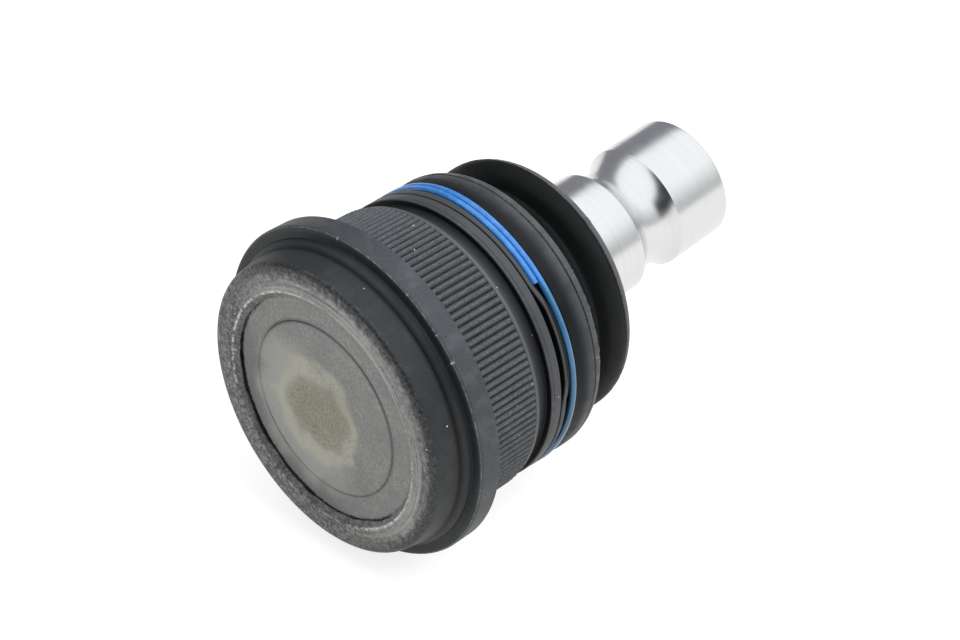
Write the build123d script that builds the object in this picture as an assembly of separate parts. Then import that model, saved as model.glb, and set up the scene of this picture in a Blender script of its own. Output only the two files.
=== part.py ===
"""Press-in suspension ball joint with a 22 mm clamp stud.

Frame: origin at the ball's centre, +X along the housing's axis towards the stud, +Z up, millimetres.
The stud rests swung a few degrees off the housing's axis, as a loose joint does, and the boot follows it.
Profiles are drawn as (x, radius) and turned about +X.
"""
from build123d import *
from math import atan2, ceil, cos, degrees, radians, sin, sqrt
import os

# ---- ball and stud ----
ball_r = 16.0
stud_rest_lift = 8.0        # degrees, stud swung up at rest
stud_rest_yaw = 3.85        # degrees, stud swung towards -Y at rest
neck_r = 8.5
neck_fillet = 1.5
taper_length = 5.5          # cone between the neck and the pin
taper_to_collar = 2.7       # cylinder between the cone and the boot's small end
pin_r = 11.0
pin_end_chamfer = 0.6
collar_to_bolt = 13.2       # boot's small end to the middle of the pinch bolt's groove
bolt_to_end = 15.8          # middle of the bolt's groove to the end of the pin
bolt_groove_r = 6.2         # radius of the annular groove's arc, for a 12 mm bolt
bolt_groove_depth = 1.9
groove_edge_round = 0.9

# ---- bearing shells ----
running_gap = 0.05          # ball to shell
shell_wall = 2.35
shell_split = 0.4           # gap between the two shells at the equator
shell_mouth_angle = 62.0    # degrees from the axis, edge of the upper shell
seat_gap = 0.03             # shell to housing, cover to housing
grease_well_r = 5.0
grease_groove_count = 6
grease_groove_width = 1.6
grease_groove_depth = 0.6

# ---- cover plate ----
cover_thickness = 2.4
cover_ledge = 3.57          # how far the cover reaches past the cavity's wall
cover_edge_chamfer = 0.3
cover_ring_r = 15.0         # fine circle pressed into the outer face
cover_ring_depth = 0.15
cover_ring_width = 0.3
dish_margin = 0.4           # from the fine circle to the dish
dish_depth = 0.9

# ---- rolled lip over the cover ----
lip_overlap = 2.8           # how far the lip lies over the cover
lip_height = 1.0            # crest above the cover's face
lip_edge_height = 0.35      # upright edge of the lip above the cover's face
lip_slope_width = 1.0       # slope from that edge up to the crest
lip_crest_round = 0.35
lip_fall = 0.45             # from the crest to the shoulder's corner
lip_wall = 2.72             # housing's wall beside the cover
lip_shoulder_round = 0.9
lip_root_flare = 0.65       # the lip's cone grows this much down to its root
lip_root_step = 1.5         # from the flange's front face to the lip's root
step_flare = 0.85           # the next cone grows this much down to the flange
step_height = 0.45
step_chamfer = 0.1

# ---- flange and press seat ----
ball_to_seat = 11.3         # ball centre to the flange's seat
press_wall = 6.52           # from the cavity's wall to the spline crests
flange_width = 3.3          # flange's rim outside the spline crests
flange_thickness = 4.05
flange_front_chamfer = 0.35
flange_seat_chamfer = 0.15
spline_count = 130
spline_depth = 0.42
spline_crest_share = 0.2    # crest width as a share of the pitch
spline_length = 11.8
spline_sink = 0.5           # how far the spline band reaches into the body

# ---- circlip groove, rim and closed mouth ----
land_length = 0.75          # smooth land between the splines and the circlip groove
land_drop = 0.15            # below the spline crests
circlip_groove_width = 2.75
circlip_groove_depth = 1.2
rim_width = 2.27            # rim between the circlip groove and the boot
rim_drop = 0.25
edge_chamfer = 0.2
boot_seat_depth = 2.9       # below the rim
boot_seat_width = 3.3
end_rim_height = 0.9        # above the boot's seat
end_rim_width = 0.8
mouth_overlap = 0.85        # how far the mouth closes over the upper shell's edge
mouth_wall = 1.35           # end face's inner edge outside the cavity's sphere

# ---- dust boot ----
boot_wall = 1.8
bead_gap = 0.25             # boot bead to the steel beside it
bead_seat_gap = 0.05        # boot bead to the seat under it
bead_drop = 0.2             # bead, ring and first bulge lie this much inside the spline crests
bead_width = 0.5
ring_side_gap = 0.15        # bead's shoulder to the ring
ring_drop = 0.08
ring_trough_end = 0.9       # the ring's trough ends this far before the bellows
trough_slope = 0.5
bellows_gap = 0.6           # from the housing's end to the start of the bellows
bellows_step = 0.1          # the first bulge starts this much under its full radius
bulge1_length = 4.43
bulge1_drop = 0.15
bulge1_round = 2.2
bulge1_to_fold = 3.5
fold_depth = 7.2            # from the first bulge down to the fold's bottom
fold_round = 1.6
fold_to_bulge2 = 3.9
bulge2_height = 5.1         # second bulge above the fold's bottom
bulge2_round = 2.6
bulge2_share = 0.5          # share of the stud's swing that the second bulge follows
bulge2_to_collar = 4.4
collar_length = 4.2
collar_wall = 2.0
collar_root = 1.6           # how far along the collar the top wall meets it
fold_half_turn = 60         # degrees of the fold's arc on each side of its bottom
crown_from_angle = 150      # degrees, where the second bulge's arc leaves the fold
arc_step = 20               # degrees between sections on the bulges' arcs

# ---- rings and insert ----
wire_r = 0.575
wire_gap = 0.03             # between neighbouring turns
wire_turns = 1.62
wire_start_angle = 134.8    # degrees about +X from +Y, first cut end
grip_gap = 0.02             # ring to rubber, rubber to insert
insert_wall = 0.9
insert_gap = 0.06           # running gap on the pin
small_ring_wire_r = 0.6
small_ring_offset = 0.6     # beyond the middle of the collar

# ---- radii, worked out from the ball outwards ----
shell_inner_r = ball_r + running_gap
shell_outer_r = shell_inner_r + shell_wall
cavity_r = shell_outer_r + seat_gap
cover_r = cavity_r + cover_ledge
pocket_r = cover_r + seat_gap
lip_inner_r = cover_r - lip_overlap
lip_crest_r = lip_inner_r + lip_slope_width
lip_shoulder_r = pocket_r + lip_wall
lip_root_r = lip_shoulder_r + lip_root_flare
step_r = lip_root_r + step_flare
spline_crest_r = cavity_r + press_wall
spline_root_r = spline_crest_r - spline_depth
flange_r = spline_crest_r + flange_width
land_r = spline_crest_r - land_drop
circlip_groove_r = land_r - circlip_groove_depth
rim_r = spline_crest_r - rim_drop
boot_seat_r = rim_r - boot_seat_depth
end_rim_r = boot_seat_r + end_rim_height
bead_r = spline_crest_r - bead_drop
ring_seat_r = spline_crest_r - ring_drop - 2 * wire_r - grip_gap
bulge1_r = spline_crest_r - bulge1_drop
bellows_start_r = bulge1_r - bellows_step
fold_r = bulge1_r - fold_depth
bulge2_r = fold_r + bulge2_height
insert_inner_r = pin_r + insert_gap
insert_outer_r = insert_inner_r + insert_wall
collar_inner_r = insert_outer_r + grip_gap
collar_r = collar_inner_r + collar_wall
dish_r = cover_ring_r - dish_margin

# ---- places along the axis, worked out from the flange's seat ----
seat_x = -ball_to_seat
flange_front_x = seat_x - flange_thickness
lip_root_x = flange_front_x - lip_root_step
cover_inner_x = -cavity_r
cover_outer_x = cover_inner_x - cover_thickness
underlip_x = cover_outer_x - seat_gap
lip_crest_x = cover_outer_x - lip_height
spline_end_x = seat_x + spline_length
groove_start_x = spline_end_x + land_length
groove_end_x = groove_start_x + circlip_groove_width
rim_end_x = groove_end_x + rim_width
boot_seat_end_x = rim_end_x + boot_seat_width
housing_end_x = boot_seat_end_x + end_rim_width
mouth_r = cavity_r * sin(radians(shell_mouth_angle)) - mouth_overlap
mouth_x = sqrt(cavity_r**2 - mouth_r**2)
mouth_edge_r = sqrt(cavity_r**2 - housing_end_x**2) + mouth_wall
bead_from = rim_end_x + bead_gap
ring_from = bead_from + bead_width + ring_side_gap
bellows_from = housing_end_x + bellows_gap
bulge1_end = bellows_from + bulge1_length
fold_x = bulge1_end + bulge1_to_fold
bulge2_x = fold_x + fold_to_bulge2
crown_end = bulge2_x + bulge2_round
collar_from = bulge2_x + bulge2_to_collar
collar_to = collar_from + collar_length
collar_middle = (collar_from + collar_to) / 2

# ---- places along the stud ----
taper_end = collar_from - taper_to_collar
neck_end = taper_end - taper_length
bolt_groove_at = collar_to + collar_to_bolt
pin_end = bolt_groove_at + bolt_to_end


def stud_pose(share=1.0):
    """The turn about the ball's centre from the housing's axis towards the resting stud's."""
    return Rot(0, -stud_rest_lift * share, 0) * Rot(0, 0, -stud_rest_yaw * share)


def polar(radius, angle):
    """The point at a radius and an angle in degrees."""
    return (radius * cos(radians(angle)), radius * sin(radians(angle)))


def turned(outline):
    """A solid of revolution about +X from closed edges drawn as (x, radius)."""
    return revolve(make_face(outline), Axis.X)


def corner(face, x, radius):
    """The vertex of a profile face that lies at (x, radius)."""
    return face.vertices().sort_by_distance((x, radius, 0))[0]


def axial_cylinder(radius, length):
    """A cylinder along +X, centred on the origin."""
    return Rot(0, 90, 0) * Cylinder(radius, length)


def ball_stud():
    """Forged one-piece stud: ball, neck, cone and clamp pin with its annular bolt groove."""
    arc_centre_r = pin_r - bolt_groove_depth + bolt_groove_r
    half_groove = sqrt(bolt_groove_r**2 - (arc_centre_r - pin_r) ** 2)
    groove_from = bolt_groove_at - half_groove
    groove_to = bolt_groove_at + half_groove
    groove_bottom = (bolt_groove_at, pin_r - bolt_groove_depth)
    chamfer_x = pin_end - pin_end_chamfer
    neck_x = sqrt(ball_r**2 - neck_r**2)
    ball_middle = polar(ball_r, (180 + degrees(atan2(neck_r, neck_x))) / 2)
    face = make_face([
        ThreePointArc((-ball_r, 0), ball_middle, (neck_x, neck_r)),
        Polyline((neck_x, neck_r), (neck_end, neck_r), (taper_end, pin_r), (groove_from, pin_r)),
        ThreePointArc((groove_from, pin_r), groove_bottom, (groove_to, pin_r)),
        Polyline((groove_to, pin_r), (chamfer_x, pin_r), (pin_end, pin_r - pin_end_chamfer)),
        Polyline((pin_end, pin_r - pin_end_chamfer), (pin_end, 0), (-ball_r, 0)),
    ])
    face = fillet(corner(face, groove_from, pin_r), groove_edge_round)
    face = fillet(corner(face, neck_x, neck_r), neck_fillet)
    face = fillet(corner(face, taper_end, pin_r), neck_fillet)
    return stud_pose() * revolve(face, Axis.X)


def grease_grooves():
    """Meridian grooves in both shells' ball faces."""
    slab = Box(2 * cavity_r, grease_groove_width, 2 * cavity_r)
    slabs = [Rot(i * 360 / grease_groove_count, 0, 0) * slab for i in range(grease_groove_count // 2)]
    return Sphere(shell_inner_r + grease_groove_depth) & (slabs[0] + slabs[1:])


def lower_bearing():
    """Cup shell between the ball and the cover plate, with a grease well in its floor."""
    well_x = -sqrt(shell_inner_r**2 - grease_well_r**2)
    floor_x = -shell_outer_r
    split = (-shell_split / 2, sqrt(shell_inner_r**2 - (shell_split / 2) ** 2))
    half_way = polar(shell_inner_r, (90 + degrees(atan2(grease_well_r, well_x))) / 2)
    shell = turned([
        ThreePointArc((well_x, grease_well_r), half_way, split),
        Polyline(split, (split[0], shell_outer_r), (floor_x, shell_outer_r), (floor_x, grease_well_r)),
        Line((floor_x, grease_well_r), (well_x, grease_well_r)),
    ])
    return shell - grease_grooves()


def upper_bearing():
    """Ring shell that the housing's closed mouth presses round the ball, open for the neck."""
    split_x = shell_split / 2
    inner_split = (split_x, sqrt(shell_inner_r**2 - split_x**2))
    outer_split = (split_x, sqrt(shell_outer_r**2 - split_x**2))
    half_way = (90 + shell_mouth_angle) / 2
    inner_mouth = polar(shell_inner_r, shell_mouth_angle)
    outer_mouth = polar(shell_outer_r, shell_mouth_angle)
    shell = turned([
        ThreePointArc(inner_split, polar(shell_inner_r, half_way), inner_mouth),
        Line(inner_mouth, outer_mouth),
        ThreePointArc(outer_mouth, polar(shell_outer_r, half_way), outer_split),
        Line(outer_split, inner_split),
    ])
    return shell - grease_grooves()


def cover_plate():
    """Pressed steel disc with a shallow dish inside a fine circle, held under the rolled lip."""
    chamfer_x = cover_outer_x + cover_edge_chamfer
    ring_in = cover_ring_r - cover_ring_width / 2
    ring_out = cover_ring_r + cover_ring_width / 2
    dish_sphere_r = (dish_r**2 + dish_depth**2) / (2 * dish_depth)
    dish_bottom_x = cover_outer_x + dish_depth
    dish_middle_r = dish_r / 2
    dish_middle_x = dish_bottom_x - dish_sphere_r + sqrt(dish_sphere_r**2 - dish_middle_r**2)
    return turned([
        Polyline(
            (dish_bottom_x, 0),
            (cover_inner_x, 0),
            (cover_inner_x, cover_r),
            (chamfer_x, cover_r),
            (cover_outer_x, cover_r - cover_edge_chamfer),
            (cover_outer_x, ring_out),
            (cover_outer_x + cover_ring_depth, cover_ring_r),
            (cover_outer_x, ring_in),
            (cover_outer_x, dish_r),
        ),
        ThreePointArc((cover_outer_x, dish_r), (dish_middle_x, dish_middle_r), (dish_bottom_x, 0)),
    ])


def spline_profile():
    """One closed outline of all the splines, seen along the axis."""
    pitch = 360 / spline_count
    half_crest = pitch * spline_crest_share / 2
    lines = []
    for i in range(spline_count):
        middle = i * pitch
        left = polar(spline_crest_r, middle - half_crest)
        right = polar(spline_crest_r, middle + half_crest)
        valley = polar(spline_root_r, middle + pitch / 2)
        following = polar(spline_crest_r, middle + pitch - half_crest)
        lines.append(ThreePointArc(left, polar(spline_crest_r, middle), right))
        lines.append(Line(right, valley))
        lines.append(Line(valley, following))
    return make_face(Plane.YZ * Curve(lines))


def housing():
    """Steel body: rolled lip, flange, splined press seat, circlip groove, boot seat and closed mouth."""
    crest = (lip_crest_x, lip_crest_r)
    shoulder = (lip_crest_x + lip_fall, lip_shoulder_r)
    mouth_angle = degrees(atan2(mouth_r, mouth_x))
    face = make_face([
        Polyline(
            (underlip_x, lip_inner_r),
            (underlip_x - lip_edge_height, lip_inner_r),
            crest,
            shoulder,
            (lip_root_x, lip_root_r),
            (flange_front_x - step_height, step_r),
            (flange_front_x, step_r + step_chamfer),
            (flange_front_x, flange_r - flange_front_chamfer),
            (flange_front_x + flange_front_chamfer, flange_r),
            (seat_x - flange_seat_chamfer, flange_r),
            (seat_x, flange_r - flange_seat_chamfer),
            (seat_x, spline_root_r),
            (spline_end_x, spline_root_r),
            (spline_end_x, land_r),
            (groove_start_x - edge_chamfer, land_r),
            (groove_start_x, land_r - edge_chamfer),
            (groove_start_x, circlip_groove_r),
            (groove_end_x, circlip_groove_r),
            (groove_end_x, rim_r - edge_chamfer),
            (groove_end_x + edge_chamfer, rim_r),
            (rim_end_x - edge_chamfer, rim_r),
            (rim_end_x, rim_r - edge_chamfer),
            (rim_end_x, boot_seat_r),
            (boot_seat_end_x, boot_seat_r),
            (boot_seat_end_x, end_rim_r),
            (housing_end_x, end_rim_r),
            (housing_end_x, mouth_edge_r),
            (mouth_x, mouth_r),
        ),
        ThreePointArc((mouth_x, mouth_r), polar(cavity_r, (mouth_angle + 90) / 2), (0, cavity_r)),
        Polyline(
            (0, cavity_r),
            (cover_inner_x, cavity_r),
            (cover_inner_x, pocket_r),
            (underlip_x, pocket_r),
            (underlip_x, lip_inner_r),
        ),
    ])
    face = fillet(corner(face, *crest), lip_crest_round)
    face = fillet(corner(face, *shoulder), lip_shoulder_round)
    bore = axial_cylinder(spline_root_r - spline_sink, 2 * spline_length)
    middle_x = (seat_x + spline_end_x) / 2
    splines = Pos(seat_x, 0, 0) * extrude(spline_profile(), spline_length)
    return revolve(face, Axis.X) + (splines - Pos(middle_x, 0, 0) * bore)


def smooth_share(x, start, end):
    """0 before start, 1 after end, and a smooth rise between them."""
    t = min(1, max(0, (x - start) / (end - start)))
    return t * t * (3 - 2 * t)


def bent(x):
    """Where the boot's section at station x lies: its middle swings with the stud first, its tilt follows."""
    into_top = smooth_share(x, crown_end, collar_from + collar_root)
    share = bulge2_share * smooth_share(x, bellows_from, bulge2_x) + (1 - bulge2_share) * into_top
    middle = stud_pose(share) * Pos(x, 0, 0)
    return Pos(middle.position) * stud_pose(into_top)


def arc_stations(x, radius, arc_r, start, end):
    """Evenly spaced points on a bulge's or fold's arc, drawn as (x, radius)."""
    steps = ceil(abs(end - start) / arc_step)
    angles = [start + (end - start) * i / steps for i in range(steps + 1)]
    return [(x + arc_r * cos(radians(a)), radius + arc_r * sin(radians(a))) for a in angles]


def bellows(inset):
    """Loft of the boot's two bulges through turned sections, moved inwards by a wall."""
    ridge_x = bulge1_end - bulge1_round
    ridge = arc_stations(ridge_x, bulge1_r - bulge1_round, bulge1_round - inset, 90, 0)
    into_fold = 270 - fold_half_turn
    out_of_fold = 270 + fold_half_turn
    fold = arc_stations(fold_x, fold_r + fold_round, fold_round + inset, into_fold, out_of_fold)
    crown = arc_stations(bulge2_x, bulge2_r - bulge2_round, bulge2_round - inset, crown_from_angle, 0)
    start = (bellows_from, bellows_start_r - inset)
    end = (collar_from + collar_root - inset, collar_r - inset / 2)
    stations = [start, *ridge, *fold, *crown, end]
    sections = [bent(x) * Rot(0, 90, 0) * Circle(radius) for x, radius in stations]
    return loft(sections, ruled=True)


def dust_boot():
    """Rubber boot: bead in the housing's seat, two bulges, and a collar round the stud's insert."""
    seat_inner_r = boot_seat_r + bead_seat_gap
    rim_inner_r = end_rim_r + bead_gap
    trough_end = bellows_from - ring_trough_end
    bead = turned(
        Polyline(
            (bead_from, seat_inner_r),
            (bead_from, bead_r),
            (bead_from + bead_width, bead_r),
            (bead_from + bead_width, ring_seat_r),
            (trough_end, ring_seat_r),
            (trough_end + trough_slope, bellows_start_r),
            (bellows_from, bellows_start_r),
            (bellows_from, bellows_start_r - boot_wall),
            (housing_end_x + bead_gap, rim_inner_r),
            (boot_seat_end_x - bead_gap, rim_inner_r),
            (boot_seat_end_x - bead_gap, seat_inner_r),
            (bead_from, seat_inner_r),
        )
    )
    place = stud_pose() * Pos(collar_middle, 0, 0)
    collar = place * axial_cylinder(collar_r, collar_length)
    bore = place * axial_cylinder(collar_inner_r, 3 * collar_length)
    return bead + (bellows(0) - bellows(boot_wall)) + collar - bore


def boot_clamp_ring():
    """Spring wire wound more than one turn round the boot's bead, so part of it lies doubled."""
    pitch = 2 * wire_r + wire_gap
    radius = ring_seat_r + grip_gap + wire_r
    coil = Helix(pitch, pitch * wire_turns, radius, direction=(1, 0, 0), lefthand=True)
    first = coil @ 0
    turn = wire_start_angle - degrees(atan2(first.Z, first.Y))
    coil = Pos(ring_from + wire_r, 0, 0) * Rot(turn, 0, 0) * coil
    section = Plane(coil @ 0, z_dir=coil % 0) * Circle(wire_r)
    return sweep(section, path=coil)


def boot_insert():
    """Stiff sleeve in the boot's small end, which slides on the pin as the stud turns."""
    sleeve = axial_cylinder(insert_outer_r, collar_length) - axial_cylinder(insert_inner_r, 2 * collar_length)
    return stud_pose() * Pos(collar_middle, 0, 0) * sleeve


def small_clamp_ring():
    """Closed wire ring that grips the boot's small end on its insert."""
    ring = Rot(0, 90, 0) * Torus(collar_r + grip_gap + small_ring_wire_r, small_ring_wire_r)
    return stud_pose() * Pos(collar_middle + small_ring_offset, 0, 0) * ring


parts = {
    "housing": housing(),
    "cover_plate": cover_plate(),
    "lower_bearing": lower_bearing(),
    "upper_bearing": upper_bearing(),
    "ball_stud": ball_stud(),
    "dust_boot": dust_boot(),
    "boot_clamp_ring": boot_clamp_ring(),
    "boot_insert": boot_insert(),
    "small_clamp_ring": small_clamp_ring(),
}
os.makedirs("parts", exist_ok=True)
for name, solid in parts.items():
    export_step(solid, f"parts/{name}.step")
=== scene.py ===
"""Looks of a press-in suspension ball joint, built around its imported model.

The visible pieces are turned meshes. Their outlines are drawn in millimetres as (x, radius, corner round)
along their own axis: +X from the cover through the ball's centre to the stud's end.
"""
from math import atan2, ceil, cos, exp, pi, radians, sin, sqrt, tau, tan

import bpy
from mathutils import Matrix, Vector, noise


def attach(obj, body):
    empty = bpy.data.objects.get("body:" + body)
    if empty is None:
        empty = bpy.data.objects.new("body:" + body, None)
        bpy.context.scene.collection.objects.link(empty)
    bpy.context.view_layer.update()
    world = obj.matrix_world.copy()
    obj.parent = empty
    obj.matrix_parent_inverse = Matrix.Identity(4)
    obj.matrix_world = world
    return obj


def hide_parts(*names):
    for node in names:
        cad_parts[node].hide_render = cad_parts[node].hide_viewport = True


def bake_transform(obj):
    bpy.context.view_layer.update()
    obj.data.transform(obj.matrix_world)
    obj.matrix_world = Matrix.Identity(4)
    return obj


MM = 0.001
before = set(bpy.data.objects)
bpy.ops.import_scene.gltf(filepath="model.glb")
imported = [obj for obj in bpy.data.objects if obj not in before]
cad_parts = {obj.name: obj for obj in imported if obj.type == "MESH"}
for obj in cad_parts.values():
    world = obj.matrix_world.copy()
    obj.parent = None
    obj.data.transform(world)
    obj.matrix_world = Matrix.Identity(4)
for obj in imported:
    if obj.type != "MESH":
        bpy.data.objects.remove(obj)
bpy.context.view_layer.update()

# ---- housing, in millimetres ----
SEAT_X = -11.3              # flange's seat
FLANGE_R = 28.25
FLANGE_FRONT_X = -15.35
LIP_ROOT_X = -16.85
LIP_ROOT_R = 25.4
LIP_SHOULDER_R = 24.75
LIP_CREST_X = -21.88
LIP_CREST_R = 20.2
LIP_INNER_R = 19.2
COVER_FACE_X = -20.83
CREST_R = 24.95             # spline crests
SPLINE_DEPTH = 0.42
SPLINE_COUNT = 130
SPLINE_CREST_SHARE = 0.2    # crest width as a share of the pitch
SPLINE_END_X = 0.5
GROOVE_FROM_X = 1.25
GROOVE_TO_X = 4.0
GROOVE_R = 23.6
RIM_R = 24.7
RIM_END_X = 6.27
BOOT_SEAT_R = 21.8
BOOT_SEAT_END_X = 9.57
END_RIM_R = 22.7
HOUSING_END_X = 10.37
MOUTH_R = 15.42
MOUTH_EDGE_R = 16.6
CAVITY_R = 18.43
POCKET_R = 22.03
COVER_BACK_X = -18.43
DISH_R = 14.6
DISH_DEPTH = 0.9
CIRCLE_R = 15.0             # fine circle pressed round the dish

# ---- stud, along its own axis ----
STUD_LIFT = 8.0             # degrees
STUD_YAW = 3.85
BALL_R = 16.0
NECK_R = 8.5
NECK_END_X = 19.0
CONE_END_X = 24.5
PIN_R = 11.0
PIN_END_X = 60.4
BOLT_GROOVE_X = 44.6
BOLT_GROOVE_ARC_R = 6.2
BOLT_GROOVE_DEPTH = 1.9

# ---- boot ----
BOOT_FROM_X = 6.52
BELLOWS_FROM_X = 10.97
BULGE_1_END_X = 15.4
BULGE_1_R = 24.8
FOLD_X = 18.9
FOLD_R = 20.0               # wider than the solid's, so that less of the swinging stud meets it
BULGE_2_X = 22.8
BULGE_2_R = 22.7
BULGE_2_ROUND = 2.6
BULGE_2_SHARE = 0.5         # share of the stud's swing that the second bulge follows
BULGE_2_LINE_X = 23.9       # parting line with its flash
BULGE_2_TAB = (124.0, 126.5)  # where a tab of flash stands, degrees about +X from +Y
COLLAR_ROOT = 1.6
COLLAR_FROM_X = 27.2
COLLAR_TO_X = 31.4
COLLAR_R = 14.0
INSERT_OUTER_R = 11.96
INSERT_INNER_R = 11.06
BOOT_WALL = 1.8
SMALL_WIRE_R = 0.6
WIRE_R = 0.575
WIRE_PITCH = 1.18
WIRE_TURNS = 1.62
WIRE_FROM_X = 7.745
WIRE_COIL_R = 24.295
WIRE_START = 134.8          # degrees about +X from +Y
WIRE_LEAN = 1.0             # how far the wire is pushed towards the bulge near the top
WIRE_LEAN_AT = 62.0
WIRE_LEAN_WIDTH = 34.0
WIRE_LOW_LEAN = 0.3         # and how far below its cut end
WIRE_LOW_AT = 175.0
WIRE_LOW_WIDTH = 30.0
WIRE_SHIFT = 0.2            # and how far all round
BEAD_STAND_OFF = 0.8        # gap between rim and bead where the bead stands off
BEAD_OFF_ANGLES = (146.0, 172.0)
BEAD_OFF_SOFT = 13.0

IMAGE_WIDTH = 960           # pixels
FOCAL_PIXELS = 2100
SENSOR_WIDTH = 36.0

SEGMENTS = 480
ARC_STEP = 0.16             # radians between points on a rounded corner


# ---------------------------------------------------------------- shapes

def stud_turn(share=1.0):
    """Turn about the ball's centre from the housing's axis towards the resting stud."""
    lift = Matrix.Rotation(radians(-STUD_LIFT * share), 4, "Y")
    return lift @ Matrix.Rotation(radians(-STUD_YAW * share), 4, "Z")


def smooth_share(x, start, end):
    """0 before start, 1 after end, and a smooth rise between them."""
    t = min(1, max(0, (x - start) / (end - start)))
    return t * t * (3 - 2 * t)


def boot_turn(x):
    """Where the boot's section at x lies: its middle swings with the stud first, its tilt follows."""
    into_top = smooth_share(x, BULGE_2_X + BULGE_2_ROUND, COLLAR_FROM_X + COLLAR_ROOT)
    share = BULGE_2_SHARE * smooth_share(x, BELLOWS_FROM_X, BULGE_2_X) + (1 - BULGE_2_SHARE) * into_top
    middle = stud_turn(share) @ Vector((x, 0, 0))
    return Matrix.Translation(middle) @ stud_turn(into_top) @ Matrix.Translation((-x, 0, 0))


def rounded(corners):
    """Outline points from corners (x, radius, round), each corner replaced by an arc of that radius."""
    points = []
    for i, (x, r, size) in enumerate(corners):
        here = Vector((x, r))
        before = Vector(corners[i - 1][:2]) - here
        after = Vector(corners[(i + 1) % len(corners)][:2]) - here
        if size == 0:
            points.append(here)
            continue
        half = before.angle(after) / 2
        reach = min(size / tan(half), 0.49 * before.length, 0.49 * after.length)
        arc_r = reach * tan(half)
        centre = here + (before.normalized() + after.normalized()).normalized() * arc_r / sin(half)
        first = here + before.normalized() * reach - centre
        last = here + after.normalized() * reach - centre
        turn = atan2(first.x * last.y - first.y * last.x, first.dot(last))
        steps = max(2, ceil(abs(turn) / ARC_STEP))
        for k in range(steps + 1):
            points.append(centre + Matrix.Rotation(turn * k / steps, 2) @ first)
    return points


def subdivided(points, longest):
    """The outline with its long straight stretches cut into pieces no longer than given."""
    out = []
    for i, here in enumerate(points):
        after = points[(i + 1) % len(points)]
        cuts = max(1, ceil((after - here).length / longest))
        out += [here.lerp(after, k / cuts) for k in range(cuts)]
    return out


def lathe(name, outline, turn=None, shape=None, slide=None, segments=SEGMENTS, sharp=40):
    """A closed mesh turned about the axis.

    turn(x) tilts a section, shape(x, r, angle) adds to its radius, and slide(x, r, angle) moves it along
    the axis.
    """
    verts, own, rings = [], [], []
    for x, r in outline:
        matrix = turn(x) if turn else Matrix.Identity(4)
        count = segments if r > 1e-6 else 1
        rings.append((len(verts), count))
        for k in range(count):
            angle = tau * k / segments
            radius = r + (shape(x, r, angle) if shape else 0)
            along = x + (slide(x, r, angle) if slide else 0)
            point = Vector((along, radius * cos(angle), radius * sin(angle)))
            own.append(point)
            verts.append(matrix @ point * MM)
    faces = []
    for i, (start, count) in enumerate(rings):
        after, after_count = rings[(i + 1) % len(rings)]
        if count == 1 and after_count == 1:
            continue
        for k in range(segments):
            n = (k + 1) % segments
            face = [start + k, start + n, after + n, after + k]
            if count == 1:
                face = [start, after + n, after + k]
            if after_count == 1:
                face = [start + k, start + n, after]
            faces.append(face[::-1])
    return finished(name, verts, own, faces, sharp)


def finished(name, verts, own, faces, sharp):
    """A smooth mesh object that keeps each point's place along its own axis, in millimetres, as "own"."""
    mesh = bpy.data.meshes.new(name)
    mesh.from_pydata(verts, [], faces)
    layer = mesh.attributes.new("own", "FLOAT_VECTOR", "POINT")
    for item, point in zip(layer.data, own):
        item.vector = point
    mesh.shade_smooth()
    mesh.set_sharp_from_angle(angle=radians(sharp))
    piece = bpy.data.objects.new(name, mesh)
    bpy.context.scene.collection.objects.link(piece)
    return piece


def ripple(x, angle, amount, scale, seed):
    """Smooth unevenness of a surface at a place along and around it."""
    return amount * noise.noise(Vector((x * scale, 9 * cos(angle) * scale + seed, 9 * sin(angle) * scale)))


def spline_wave(angle):
    """0 on a spline's crest, 1 at the bottom of the valley between two."""
    phase = (angle * SPLINE_COUNT / tau) % 1
    from_crest = min(phase, 1 - phase)
    half_crest = SPLINE_CREST_SHARE / 2
    return max(0, from_crest - half_crest) / (0.5 - half_crest)


def housing_shape(x, r, angle):
    """Splines on the press seat, and a slightly uneven rolled lip."""
    if SEAT_X + 0.05 < x < SPLINE_END_X and r > CREST_R - 0.3:
        return -SPLINE_DEPTH * spline_wave(angle) + ripple(x, angle, 0.05, 0.7, 3)
    if x < COVER_FACE_X and r < LIP_CREST_R - 0.2:
        return ripple(x, angle, 0.30, 0.5, 11) + ripple(x, angle, 0.16, 1.6, 5)
    return 0


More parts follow.
